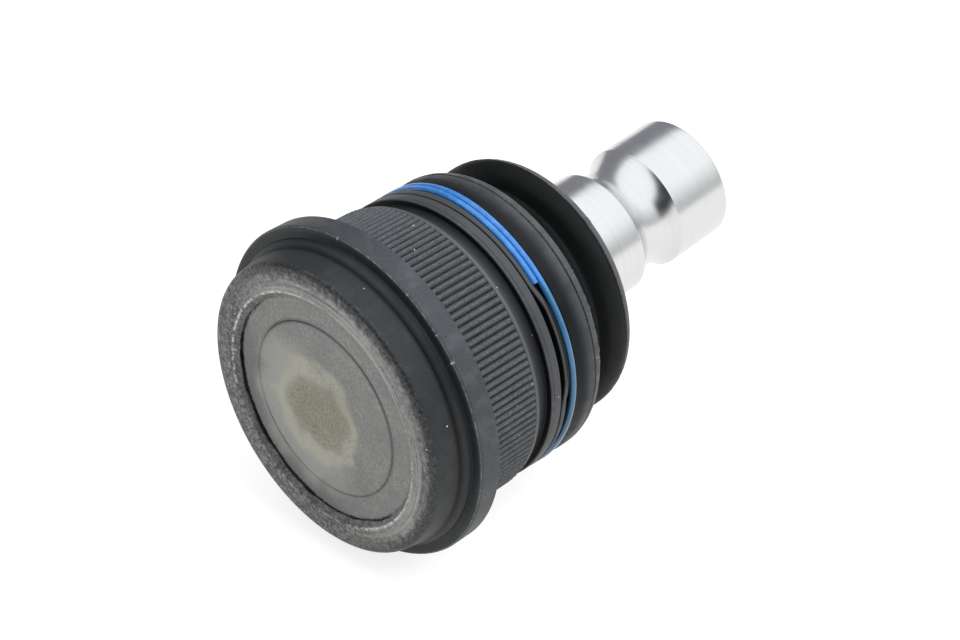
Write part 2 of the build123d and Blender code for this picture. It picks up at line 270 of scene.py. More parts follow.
def make_housing():
    """Housing: rolled lip, flange, splined seat, circlip groove, rim, boot seat and closed mouth."""
    corners = [
        (COVER_FACE_X - 0.03, LIP_INNER_R, 0.06),
        (COVER_FACE_X - 0.38, LIP_INNER_R + 0.02, 0.15),
        (LIP_CREST_X, LIP_CREST_R, 0.45),
        (LIP_CREST_X + 0.45, LIP_SHOULDER_R, 0.9),
        (LIP_ROOT_X - 0.1, LIP_ROOT_R, 0.08),
        (LIP_ROOT_X, LIP_ROOT_R - 0.12, 0.05),
        (LIP_ROOT_X + 0.12, LIP_ROOT_R + 0.05, 0.05),
        (FLANGE_FRONT_X - 0.45, LIP_ROOT_R + 0.85, 0.2),
        (FLANGE_FRONT_X, LIP_ROOT_R + 0.95, 0.1),
        (FLANGE_FRONT_X, FLANGE_R - 0.35, 0.15),
        (FLANGE_FRONT_X + 0.35, FLANGE_R, 0.25),
        (SEAT_X - 0.15, FLANGE_R, 0.1),
        (SEAT_X, FLANGE_R - 0.15, 0.1),
        (SEAT_X, CREST_R - SPLINE_DEPTH, 0.08),
        (SEAT_X + 0.06, CREST_R - SPLINE_DEPTH, 0.03),
        (SEAT_X + 0.15, CREST_R, 0.05),
        (SPLINE_END_X - 0.25, CREST_R, 0.12),
        (SPLINE_END_X + 0.02, CREST_R - SPLINE_DEPTH, 0.05),
        (SPLINE_END_X + 0.08, CREST_R - 0.3, 0.03),
        (GROOVE_FROM_X, CREST_R - 0.3, 0.12),
        (GROOVE_FROM_X, GROOVE_R, 0.15),
        (GROOVE_TO_X, GROOVE_R, 0.15),
        (GROOVE_TO_X, RIM_R, 0.2),
        (RIM_END_X, RIM_R, 0.25),
        (RIM_END_X, BOOT_SEAT_R, 0.1),
        (BOOT_SEAT_END_X, BOOT_SEAT_R, 0.1),
        (BOOT_SEAT_END_X, END_RIM_R, 0.1),
        (HOUSING_END_X, END_RIM_R, 0.15),
        (HOUSING_END_X, MOUTH_EDGE_R, 0.1),
        (sqrt(CAVITY_R**2 - MOUTH_R**2), MOUTH_R, 0.05),
    ]
    cavity = [Vector((CAVITY_R * cos(radians(a)), CAVITY_R * sin(radians(a)))) for a in range(60, 91, 3)]
    pocket = [(COVER_BACK_X, CAVITY_R), (COVER_BACK_X, POCKET_R), (COVER_FACE_X - 0.03, POCKET_R)]
    outline = subdivided(rounded(corners) + cavity + [Vector(p) for p in pocket], 1.0)
    return lathe("housing_body", outline, shape=housing_shape, segments=SPLINE_COUNT * 10, sharp=32)


def make_cover():
    """Cover plate with its shallow dish inside a fine circle; the dish's middle is bare."""
    dish = [(COVER_FACE_X + DISH_DEPTH * (1 - (r / DISH_R) ** 2), r, 0) for r in (0, 3, 6, 9, 11, 13)]
    corners = dish + [
        (COVER_FACE_X, DISH_R, 0.5),
        (COVER_FACE_X, CIRCLE_R - 0.12, 0.02),
        (COVER_FACE_X + 0.13, CIRCLE_R, 0.03),
        (COVER_FACE_X, CIRCLE_R + 0.12, 0.02),
        (COVER_FACE_X, POCKET_R - 0.33, 0.1),
        (COVER_FACE_X + 0.3, POCKET_R - 0.03, 0.1),
        (COVER_BACK_X, POCKET_R - 0.03, 0.1),
        (COVER_BACK_X, 0, 0),
    ]
    return lathe("cover", subdivided(rounded(corners), 1.0), segments=240)


def make_stud():
    """Ball, neck, cone and clamp pin with the pinch bolt's annular groove."""
    arc_centre_r = PIN_R - BOLT_GROOVE_DEPTH + BOLT_GROOVE_ARC_R
    half_groove = sqrt(BOLT_GROOVE_ARC_R**2 - (arc_centre_r - PIN_R) ** 2)
    neck_angle = atan2(NECK_R, sqrt(BALL_R**2 - NECK_R**2))
    ball_steps = 28
    ball = [pi - (pi - neck_angle) * k / ball_steps for k in range(ball_steps)]
    outline = [Vector((BALL_R * cos(a), BALL_R * sin(a))) for a in ball]
    outline[0].y = 0
    edge = atan2(PIN_R - arc_centre_r, -half_groove)
    groove_steps = 24
    groove = []
    for k in range(groove_steps + 1):
        a = edge + (-pi - 2 * edge) * k / groove_steps
        corner_round = 0.7 if k == 0 else 0
        groove.append((BOLT_GROOVE_X + BOLT_GROOVE_ARC_R * cos(a), arc_centre_r + BOLT_GROOVE_ARC_R * sin(a),
                       corner_round))
    shaft = [
        (BALL_R * cos(neck_angle), NECK_R, 1.2),
        (NECK_END_X, NECK_R, 1.0),
        (CONE_END_X, PIN_R, 1.0),
        *groove,
        (PIN_END_X, PIN_R, 0.7),
        (PIN_END_X, 0, 0),
    ]
    outline += rounded(shaft)
    return lathe("stud", subdivided(outline, 1.2), turn=lambda x: stud_turn(), segments=320, sharp=35)


def between(angle, low, high, soft):
    """1 for an angle from low to high, in degrees about +X from +Y, falling to 0 within soft beyond them."""
    middle = (low + high) / 2
    off = abs((angle - radians(middle) + pi) % tau - pi) - radians((high - low) / 2)
    return 1 - smooth_share(off, 0, radians(soft))


def wire_lean(angle):
    """How far the wire and the rubber beside it are pushed towards the bulge, most near the joint's top."""
    off = (angle - radians(WIRE_LEAN_AT) + pi) % tau - pi
    below = (angle - radians(WIRE_LOW_AT) + pi) % tau - pi
    return (WIRE_SHIFT + WIRE_LEAN * exp(-(off / radians(WIRE_LEAN_WIDTH)) ** 2)
            + WIRE_LOW_LEAN * exp(-(below / radians(WIRE_LOW_WIDTH)) ** 2))


def boot_lower_slide(x, r, angle):
    """The bead stands off the rim below the wire's cut end, and the trough's far wall follows the wire."""
    outer = smooth_share(r, BOOT_SEAT_R, CREST_R - 1)
    if x < BOOT_FROM_X + 0.25:
        return BEAD_STAND_OFF * between(angle, *BEAD_OFF_ANGLES, BEAD_OFF_SOFT) * outer
    if x < BOOT_FROM_X + 1:
        below_end = BEAD_STAND_OFF * between(angle, *BEAD_OFF_ANGLES, BEAD_OFF_SOFT)
        return max(1.35 * below_end, 0.85 * wire_lean(angle) - WIRE_SHIFT) * outer
    if r > WIRE_COIL_R - WIRE_R - 0.1 and x < BULGE_1_END_X:
        return 0.9 * wire_lean(angle) * smooth_share(x, BOOT_FROM_X + 1.5, BELLOWS_FROM_X - 1.4) * (
            1 - smooth_share(x, BELLOWS_FROM_X - 0.6, BELLOWS_FROM_X + 2.2))
    return 0


def boot_lower_shape(x, r, angle):
    """Moulding flash along the first bulge's ridge, ragged on one side."""
    if r > BULGE_1_R - 1.2 and BULGE_1_END_X - 0.75 < x:
        ragged = between(angle, 138, 176, 8)
        fine = noise.noise(Vector((120 * cos(angle), 120 * sin(angle), 3)))
        coarse = noise.noise(Vector((32 * cos(angle), 32 * sin(angle), 8)))
        return ragged * (0.16 * fine + 0.2 * max(0, coarse)) + 0.02 * coarse
    return 0


def make_boot_lower():
    """Boot's bead, the ring's trough and the first bulge, down to the fold."""
    corners = [
        (BOOT_FROM_X - 0.1, BOOT_SEAT_R + 0.05, 0.1),
        (BOOT_FROM_X - 0.1, CREST_R - 0.2, 0.2),
        (BOOT_FROM_X + 0.68, CREST_R - 0.2, 0.2),
        (BOOT_FROM_X + 0.68, WIRE_COIL_R - WIRE_R - 0.02, 0.1),
        (BELLOWS_FROM_X - 1.4, WIRE_COIL_R - WIRE_R - 0.02, 0.2),
        (BELLOWS_FROM_X - 1.1, BULGE_1_R - 0.55, 0.3),
        (BELLOWS_FROM_X + 1.2, BULGE_1_R - 0.05, 2.5),
        (BULGE_1_END_X - 1.6, BULGE_1_R + 0.02, 0.3),
        (BULGE_1_END_X - 1.45, BULGE_1_R - 0.1, 0.03),
        (BULGE_1_END_X - 1.3, BULGE_1_R + 0.02, 0.1),
        (BULGE_1_END_X, BULGE_1_R - 0.3, 1.5),
        (FOLD_X - 1.2, FOLD_R + 0.5, 1.0),
        (FOLD_X, FOLD_R, 0),
        (FOLD_X, FOLD_R - BOOT_WALL, 0),
        (FOLD_X - 1.8, FOLD_R - 0.8, 1.2),
        (BULGE_1_END_X - 1.8, BULGE_1_R - 2.2, 0.5),
        (BELLOWS_FROM_X, BULGE_1_R - 2.2, 0.2),
        (HOUSING_END_X + 0.25, END_RIM_R + 0.25, 0.1),
        (BOOT_SEAT_END_X - 0.25, END_RIM_R + 0.25, 0.1),
        (BOOT_SEAT_END_X - 0.25, BOOT_SEAT_R + 0.05, 0.1),
    ]
    outline = subdivided(rounded(corners), 0.7)
    return lathe("boot_lower", outline, turn=boot_turn, shape=boot_lower_shape, slide=boot_lower_slide,
                 segments=960, sharp=50)


def boot_upper_shape(x, r, angle):
    """Moulding flash round the second bulge's crown, with one larger tab."""
    off_line = abs(x - BULGE_2_LINE_X)
    if r < BULGE_2_R - 1.4 or off_line >= 1:
        return 0
    on_line = 1 - smooth_share(off_line, 0.2, 0.9)
    fine = noise.noise(Vector((90 * cos(angle), 90 * sin(angle), 1)))
    tab = between(angle, *BULGE_2_TAB, 0.8)
    return on_line * (0.07 * fine + 0.3 * tab)


def make_boot_upper():
    """Second bulge from the fold over its crown to the collar round the stud's sleeve."""
    crown_r = BULGE_2_R - BULGE_2_ROUND
    crown = [(BULGE_2_X + BULGE_2_ROUND * cos(radians(a)), crown_r + BULGE_2_ROUND * sin(radians(a)), 0)
             for a in range(150, -1, -6)]
    corners = [
        (FOLD_X, FOLD_R, 0),
        (FOLD_X + 0.8, FOLD_R - 0.2, 0.6),
        *crown,
        (COLLAR_FROM_X + 1.5, COLLAR_R + 0.9, 0.6),
        (COLLAR_FROM_X + 1.7, COLLAR_R, 0.4),
        (COLLAR_TO_X, COLLAR_R, 0.25),
        (COLLAR_TO_X, INSERT_OUTER_R + 0.02, 0.1),
        (COLLAR_FROM_X, INSERT_OUTER_R + 0.02, 0.1),
        (BULGE_2_X + 0.9, BULGE_2_R - 3.0, 0.8),
        (BULGE_2_X - 0.6, BULGE_2_R - 2.2, 0.8),
        (FOLD_X + 1.9, FOLD_R - 0.9, 1.0),
        (FOLD_X, FOLD_R - BOOT_WALL, 0),
    ]
    outline = subdivided(rounded(corners), 0.7)
    return lathe("boot_upper", outline, turn=boot_turn, shape=boot_upper_shape, segments=720, sharp=50)


def make_wire():
    """Blue spring wire wound more than one turn, with plain cut ends."""
    steps = 900
    sides = 20
    verts, own = [], []
    for k in range(steps + 1):
        share = k / steps
        angle = radians(WIRE_START) - tau * WIRE_TURNS * share
        x = WIRE_FROM_X + WIRE_PITCH * WIRE_TURNS * share + wire_lean(angle)
        for j in range(sides):
            a = tau * j / sides
            radius = WIRE_COIL_R + WIRE_R * cos(a)
            point = Vector((x + WIRE_R * sin(a), radius * cos(angle), radius * sin(angle)))
            verts.append(point * MM)
            own.append(point)
    faces = []
    for k in range(steps):
        for j in range(sides):
            n = (j + 1) % sides
            a, b = k * sides, (k + 1) * sides
            faces.append([a + j, b + j, b + n, a + n][::-1])
    faces.append(list(range(sides)))
    faces.append([steps * sides + j for j in reversed(range(sides))])
    return finished("clamp_wire", verts, own, faces, 50)


def make_insert():
    """Moulded sleeve between the boot's small end and the pin."""
    corners = [
        (COLLAR_FROM_X, INSERT_INNER_R, 0.1),
        (COLLAR_FROM_X, INSERT_OUTER_R, 0.1),
        (COLLAR_TO_X, INSERT_OUTER_R, 0.1),
        (COLLAR_TO_X, INSERT_INNER_R, 0.1),
    ]
    return lathe("insert_sleeve", rounded(corners), turn=lambda x: stud_turn(), segments=160)


def make_small_ring():
    """Wire ring round the boot's small end."""
    middle = (COLLAR_FROM_X + COLLAR_TO_X) / 2 + 0.6
    sides = 16
    outline = []
    for k in range(sides):
        a = tau * k / sides
        r = COLLAR_R + 0.02 + SMALL_WIRE_R * (1 - sin(a))
        outline.append(Vector((middle + SMALL_WIRE_R * cos(a), r)))
    return lathe("small_ring", outline, turn=lambda x: stud_turn(), segments=200, sharp=80)


# ---------------------------------------------------------------- materials

class Nodes:
    """Short calls for the nodes of a tree."""

    def __init__(self, tree):
        self.tree = tree

    def feed(self, socket, value):
        if isinstance(value, bpy.types.NodeSocket):
            self.tree.links.new(value, socket)
        elif isinstance(value, tuple) and len(value) == 3 and socket.type == "RGBA":
            socket.default_value = (*value, 1)
        else:
            socket.default_value = value

    def node(self, kind, inputs=None, **settings):
        made = self.tree.nodes.new("ShaderNode" + kind)
        for key, value in settings.items():
            setattr(made, key, value)
        for key, value in (inputs or {}).items():
            self.feed(made.inputs[key], value)
        return made

    def math(self, operation, a, b=0.0):
        return self.node("Math", {0: a, 1: b}, operation=operation).outputs[0]

    def own(self):
        """The point's place along the piece's own axis, in millimetres."""
        return self.node("Attribute", attribute_name="own").outputs["Vector"]

    def axial(self):
        """(x, radius, y and z as a unit vector) of a point."""
        split = self.node("SeparateXYZ", {0: self.own()})
        y, z = split.outputs[1], split.outputs[2]
        radius = self.math("SQRT", self.math("ADD", self.math("MULTIPLY", y, y), self.math("MULTIPLY", z, z)))
        return split.outputs[0], radius, self.math("DIVIDE", y, radius), self.math("DIVIDE", z, radius)

    def vector(self, x, y, z):
        return self.node("CombineXYZ", {0: x, 1: y, 2: z}).outputs[0]

    def noise(self, vector, scale, detail=3.0, rough=0.55):
        inputs = {"Vector": vector, "Scale": scale, "Detail": detail, "Roughness": rough}
        return self.node("TexNoise", inputs).outputs[0]

    def span(self, value, low, high, to_low=0.0, to_high=1.0):
        """Smoothly maps value from low..high to to_low..to_high, and holds it beyond."""
        inputs = {0: value, 1: low, 2: high, 3: to_low, 4: to_high}
        return self.node("MapRange", inputs, interpolation_type="SMOOTHSTEP").outputs[0]

    def mix(self, share, a, b):
        mixer = self.node("Mix", {0: share}, data_type="RGBA")
        self.feed(mixer.inputs[6], a)
        self.feed(mixer.inputs[7], b)
        return mixer.outputs[2]

    def streaks(self, x, radius, y, z, across, along):
        """Noise drawn out around the axis, as turning, rolling and grinding leave it."""
        place = self.vector(self.math("MULTIPLY", x, across), self.math("MULTIPLY", y, along),
                            self.math("MULTIPLY", z, along))
        inputs = {"Vector": place, "W": self.math("MULTIPLY", radius, across), "Scale": 1.0, "Detail": 4.0}
        return self.node("TexNoise", inputs, noise_dimensions="4D").outputs[0]

    def near(self, x, radius, at_x, at_r, width):
        """1 on the edge circle at (at_x, at_r), falling to 0 at a distance of width."""
        dx = self.math("SUBTRACT", x, at_x)
        dr = self.math("SUBTRACT", radius, at_r)
        squares = self.math("ADD", self.math("MULTIPLY", dx, dx), self.math("MULTIPLY", dr, dr))
        return self.span(self.math("SQRT", squares), width, 0.0)

    def facing(self, y, z, degrees):
        """Cosine of the angle about the axis between a point and the direction given in degrees from +Y."""
        a = radians(degrees)
        return self.math("ADD", self.math("MULTIPLY", y, cos(a)), self.math("MULTIPLY", z, sin(a)))

    def arc(self, y, z, low, high, soft):
        """1 between two angles about the axis, in degrees from +Y, falling to 0 within soft beyond them."""
        half = (high - low) / 2
        toward = self.facing(y, z, (low + high) / 2)
        return self.span(toward, cos(radians(min(180, half + soft))), cos(radians(half)))

    def band(self, value, low, high, soft):
        """1 from low to high, falling to 0 within soft beyond them."""
        return self.math("MULTIPLY", self.span(value, low - soft, low), self.span(value, high + soft, high))

    def flecks(self, size, share):
        """1 on sparse small spots of dust."""
        cells = self.node("TexVoronoi", {"Vector": self.own(), "Scale": 0.55})
        spot = self.span(cells.outputs["Distance"], size, size * 0.6)
        chance = self.node("SeparateColor", {0: cells.outputs["Color"]}).outputs[0]
        return self.math("MULTIPLY", spot, self.math("LESS_THAN", chance, share))


class Recipe(Nodes):
    """A material being made."""

    def __init__(self, name, **shader):
        """shader gives the surface's own settings, such as metallic or coat_weight."""
        self.material = bpy.data.materials.new(name)
        self.material.use_nodes = True
        super().__init__(self.material.node_tree)
        self.shader = self.tree.nodes["Principled BSDF"]
        for key, value in shader.items():
            socket = key.replace("_", " ").title().replace("Ior", "IOR")
            self.feed(self.shader.inputs[socket], value)

    def bump(self, height, strength, distance):
        inputs = {"Strength": strength, "Distance": distance, "Height": height}
        normal = self.node("Bump", inputs).outputs[0]
        self.feed(self.shader.inputs["Normal"], normal)


def lip_steel(m, x, radius, y, z, streak, patches):
    """Colour of the rolled lip: grained and dull on its lower side; streaked and bright with painted light on
    its upper side, where painted shade darkens it towards the shoulder; painted shade and painted light on
    the inner slope; and a crest with wear and a painted highlight.
    """
    radial = m.noise(m.vector(m.math("MULTIPLY", y, 34), m.math("MULTIPLY", z, 34), radius), 1.0, 4.0, 0.7)
    speckle = m.noise(m.own(), 2.0, 5.0, 0.7)
    blotch = m.noise(m.own(), 0.7, 4.0, 0.65)
    rough = m.math("MULTIPLY", m.math("ADD", radial, blotch), speckle)
    grained = m.mix(m.span(rough, 0.34, 0.72), (0.03, 0.032, 0.033), (0.27, 0.272, 0.27))
    mottle = m.math("MULTIPLY", m.math("ADD", blotch, 0.5), speckle)
    soft_streak = m.math("ADD", m.math("MULTIPLY", streak, 0.65), m.math("MULTIPLY", mottle, 0.35))
    light = m.mix(m.span(soft_streak, 0.33, 0.6), (0.13, 0.131, 0.131), (0.4, 0.4, 0.395))
    outer = m.mix(m.span(mottle, 0.4, 0.7), (0.022, 0.023, 0.025), (0.08, 0.081, 0.083))
    # Painted shade: the upper side darkens from the crest towards the shoulder, with a ragged edge.
    shoulder_shade_radius = m.math("ADD", radius, m.span(blotch, 0.3, 0.7, -0.9, 0.9))
    upper_side_painted_light = m.mix(m.span(shoulder_shade_radius, 21.3, 24.3), light, outer)
    # The side from 75 to 215 degrees is bright with painted light; the rest keeps the dull grain.
    colour = m.mix(m.arc(y, z, 75, 215, 55), grained, upper_side_painted_light)
    inner = m.band(radius, LIP_INNER_R - 0.2, LIP_CREST_R - 0.2, 0.15)
    # Inner slope down to the cover: painted shade on most of it, painted light from 88 to 178 degrees.
    shaded = m.mix(m.span(rough, 0.3, 0.8), (0.08, 0.081, 0.081), (0.26, 0.26, 0.26))
    slope = m.mix(m.arc(y, z, 88, 178, 32), shaded, (0.36, 0.36, 0.355))
    colour = m.mix(inner, colour, slope)
    # The crest shows wear and a painted highlight, strongest on two arcs.
    crest = m.math("MULTIPLY", m.near(x, radius, LIP_CREST_X + 0.06, LIP_CREST_R, 0.36),
                   m.span(patches, 0.4, 0.6))
    strong = m.math("ADD", m.arc(y, z, 5, 75, 25), m.arc(y, z, 185, 235, 25))
    crest = m.math("MULTIPLY", crest, m.span(strong, 0, 1, 0.35, 1.0))
    return m.mix(crest, colour, (0.72, 0.72, 0.7))


def dark_steel():
    """Phosphated steel, burnished on the rolled lip with painted light on its upper side, bright on the
    splines' crests from wear and a painted highlight; painted shade in the spline valleys, on the flank
    between lip and flange, at the lip's root, on the flange's front face and in the circlip groove.
    """
    m = Recipe("dark_steel", metallic=0.5)
    x, radius, y, z = m.axial()
    grain = m.noise(m.own(), 6.0, 4.0)
    cloud = m.noise(m.own(), 0.35, 3.0)
    patches = m.noise(m.own(), 1.3, 4.0)
    streak = m.streaks(x, radius, y, z, 3.5, 1.6)
    body = m.mix(m.span(grain, 0.3, 0.7), (0.042, 0.046, 0.052), (0.076, 0.081, 0.089))
    colour = m.mix(m.span(cloud, 0.45, 0.75), body, (0.084, 0.09, 0.099))

    # Painted shade on the flank between the rolled lip and the flange.
    flank = m.band(x, COVER_FACE_X - 0.07, FLANGE_FRONT_X - 0.1, 0.3)
    colour = m.mix(m.math("MULTIPLY", flank, 0.62), colour, (0.012, 0.013, 0.015))
    # Painted shade on the flange's front face near the lip and in the lip's root.
    front = m.math("MULTIPLY", m.band(x, FLANGE_FRONT_X - 0.65, FLANGE_FRONT_X + 0.15, 0.05),
                   m.span(radius, FLANGE_R - 0.55, FLANGE_R - 1.05))
    root = m.near(x, radius, LIP_ROOT_X, LIP_ROOT_R, 0.9)
    colour = m.mix(m.math("MAXIMUM", m.math("MULTIPLY", front, 0.35), root), colour, (0.008, 0.008, 0.009))
    # A thin bright line round the flange's front edge, patchy from wear and partly a painted highlight, with
    # a few bright nicks.
    edge = m.math("MULTIPLY", m.near(x, radius, FLANGE_FRONT_X + 0.1, FLANGE_R - 0.13, 0.22),
                  m.span(patches, 0.4, 0.7, 0.1, 0.5))
    for angle, size in ((87, 0.35), (133, 0.25), (142.5, 0.6), (118, 0.2)):
        nick = m.math("MULTIPLY", m.arc(y, z, angle - size / 4, angle + size / 4, size / 2),
                      m.near(x, radius, FLANGE_FRONT_X + 0.05, FLANGE_R - 0.2, 0.3 + size / 2))
        edge = m.math("MAXIMUM", edge, nick)
    colour = m.mix(edge, colour, (0.5, 0.5, 0.5))

    splined = m.math("MULTIPLY", m.band(x, SEAT_X + 0.1, SPLINE_END_X, 0.05),
                     m.span(radius, CREST_R - 0.65, CREST_R - 0.5))
    rough_flank = m.noise(m.own(), 3.2, 3.0, 0.6)
    # Splines: painted shade darkens the valleys, most at their bottom; the crests are lighter from wear and a
    # painted highlight.
    out_of_valley = m.span(radius, CREST_R - 0.43, CREST_R - 0.27)
    valley = m.mix(out_of_valley, (0.008, 0.009, 0.01), (0.062, 0.066, 0.073))
    crest_wear_and_highlight = m.math("MULTIPLY", m.span(radius, CREST_R - 0.29, CREST_R - 0.09),
                  m.span(rough_flank, 0.35, 0.65, 0.1, 1.0))
    colour = m.mix(splined, colour, m.mix(crest_wear_and_highlight, valley, (0.13, 0.136, 0.148)))
    land = m.band(x, SPLINE_END_X + 0.05, GROOVE_FROM_X + 0.02, 0.06)
    colour = m.mix(land, colour, (0.1, 0.105, 0.115))

    # Circlip groove: painted shade darkens its floor towards the far wall.
    groove = m.band(x, GROOVE_FROM_X - 0.05, GROOVE_TO_X - 0.05, 0.05)
    groove_floor_shade = m.mix(m.span(x, GROOVE_FROM_X + 0.05, GROOVE_TO_X - 0.8), (0.07, 0.073, 0.08),
                       (0.02, 0.021, 0.023))
    colour = m.mix(groove, colour, groove_floor_shade)
    # Painted shade makes the groove's far wall near-black; a thin dark line runs round the rim beside it.
    wall = m.math("MULTIPLY", m.band(x, GROOVE_TO_X - 0.08, GROOVE_TO_X + 0.05, 0.05),
                  m.span(radius, RIM_R - 0.1, RIM_R - 0.3))
    line = m.math("MULTIPLY", m.band(x, GROOVE_TO_X + 0.62, GROOVE_TO_X + 0.7, 0.12), 0.5)
    colour = m.mix(m.math("MAXIMUM", wall, line), colour, (0.008, 0.008, 0.009))
    rim = m.math("MULTIPLY", m.band(x, GROOVE_TO_X + 0.85, RIM_END_X - 0.17, 0.1), 0.7)
    colour = m.mix(rim, colour, (0.07, 0.072, 0.082))

    on_lip = m.span(x, COVER_FACE_X + 0.13, COVER_FACE_X - 0.47)
    colour = m.mix(on_lip, colour, lip_steel(m, x, radius, y, z, streak, patches))
    colour = m.mix(m.flecks(0.09, 0.13), colour, (0.75, 0.76, 0.78))
    m.feed(m.shader.inputs["Base Color"], colour)
    roughness = m.mix(on_lip, m.mix(splined, (0.5, 0.5, 0.5), (0.66, 0.66, 0.66)), (0.42, 0.42, 0.42))
    m.feed(m.shader.inputs["Roughness"], roughness)
    height = m.math("ADD", m.math("MULTIPLY", grain, 0.6), m.math("MULTIPLY", streak, on_lip))
    m.bump(height, 0.35, 0.00008)
    return m.material


def cover_steel():
    """Dull pressed plate, with a pale halo round a warm tarnish in the dish, a painted reflection beside it,
    and painted shade on its lower side, in its fine circle and in its seam under the lip.
    """
    m = Recipe("cover_steel", metallic=0.7)
    _, radius, y, z = m.axial()
    cloud = m.noise(m.own(), 0.22, 5.0, 0.6)
    fine = m.noise(m.own(), 2.2, 6.0, 0.7)
    body = m.mix(m.span(cloud, 0.3, 0.7), (0.23, 0.235, 0.235), (0.34, 0.34, 0.335))
    body = m.mix(m.span(fine, 0.36, 0.64, 0.0, 0.62), body, (0.15, 0.152, 0.15))
    # Painted shade on the plate's lower side, inside the lip.
    low_side = m.math("MULTIPLY", m.arc(y, z, -85, 5, 35), m.band(radius, 14.0, 17.6, 3.0))
    colour = m.mix(m.math("MULTIPLY", low_side, 0.55), body, (0.14, 0.142, 0.15))

    around = m.node("VectorMath", {0: m.own(), 1: (0, 2.4, -2.4)}, operation="SUBTRACT").outputs[0]
    split = m.node("SeparateXYZ", {0: around})
    off = m.node("VectorMath", {0: m.vector(0.0, split.outputs[1], split.outputs[2])}, operation="LENGTH")
    off = m.math("ADD", off.outputs["Value"], m.span(m.noise(m.own(), 0.2, 1.0), 0.3, 0.7, -1.0, 1.0))
    warm = m.mix(m.span(fine, 0.35, 0.65), (0.2, 0.195, 0.147), (0.35, 0.34, 0.265))
    colour = m.mix(m.span(off, 9.5, 4.0, 0.0, 0.9), colour, warm)
    # A painted reflection: a soft pale ring round the tarnish on its lower left side.
    painted_sheen = m.math("MULTIPLY", m.band(off, 8.0, 11.0, 4.5), m.arc(y, z, -75, 20, 60))
    colour = m.mix(m.math("MULTIPLY", painted_sheen, 0.5), colour, (0.47, 0.465, 0.43))
    halo = m.math("MULTIPLY", m.band(off, 7.4, 8.2, 2.0), m.span(fine, 0.35, 0.62, 0.2, 0.85))
    colour = m.mix(halo, colour, (0.47, 0.455, 0.38))
    orange = m.math("MULTIPLY", m.band(off, 5.5, 7.5, 3.0), m.arc(y, z, 165, 195, 40))
    colour = m.mix(m.math("MULTIPLY", orange, 0.1), colour, (0.42, 0.29, 0.17))

    # Painted shade in the pressed fine circle, faint all round and stronger from about 60 to 180 degrees.
    circle = m.band(radius, CIRCLE_R - 0.05, CIRCLE_R + 0.1, 0.55)
    circle = m.math("MULTIPLY", circle, m.span(m.arc(y, z, 60, 180, 50), 0, 1, 0.2, 0.6))
    colour = m.mix(circle, colour, (0.06, 0.06, 0.06))
    # Painted shade in the seam under the lip's inner edge: ragged and widest from -55 to -15 degrees, in
    # broken marks from 10 to 45 degrees, none on the upper right.
    ragged = m.noise(m.own(), 1.8, 5.0, 0.75)
    depth = m.span(m.arc(y, z, -55, -15, 45), 0, 1, 18.95, 18.55)
    ragged_radius = m.math("ADD", radius, m.math("MULTIPLY", ragged, 1.5))
    seam_shade_reach = m.math("SUBTRACT", ragged_radius, m.math("ADD", depth, 0.75))
    broken_seam_shade = m.math("MULTIPLY", m.arc(y, z, 10, 45, 20), m.span(ragged, 0.5, 0.56))
    side = m.math("MAXIMUM", m.arc(y, z, -130, 15, 25), broken_seam_shade)
    seam = m.math("MULTIPLY", m.span(seam_shade_reach, -0.15, 0.2), side)
    colour = m.mix(seam, colour, (0.012, 0.012, 0.012))
    m.feed(m.shader.inputs["Base Color"], colour)
    m.feed(m.shader.inputs["Roughness"], m.span(cloud, 0.3, 0.7, 0.4, 0.52))
    m.bump(m.math("ADD", fine, m.math("MULTIPLY", cloud, 2.0)), 0.3, 0.0001)
    return m.material


def ground_steel():
    """Fine ground stud steel, its faint lines running round the pin."""
    m = Recipe("ground_steel", metallic=1.0)
    x, radius, y, z = m.axial()
    lines = m.streaks(x, radius, y, z, 5.0, 0.5)
    cloud = m.noise(m.own(), 0.3, 2.0)
    colour = m.mix(m.span(lines, 0.3, 0.7), (0.68, 0.685, 0.695), (0.71, 0.715, 0.725))
    m.feed(m.shader.inputs["Base Color"], colour)
    m.feed(m.shader.inputs["Roughness"], m.span(cloud, 0.3, 0.7, 0.21, 0.27))
    m.bump(lines, 0.04, 0.00003)
    return m.material


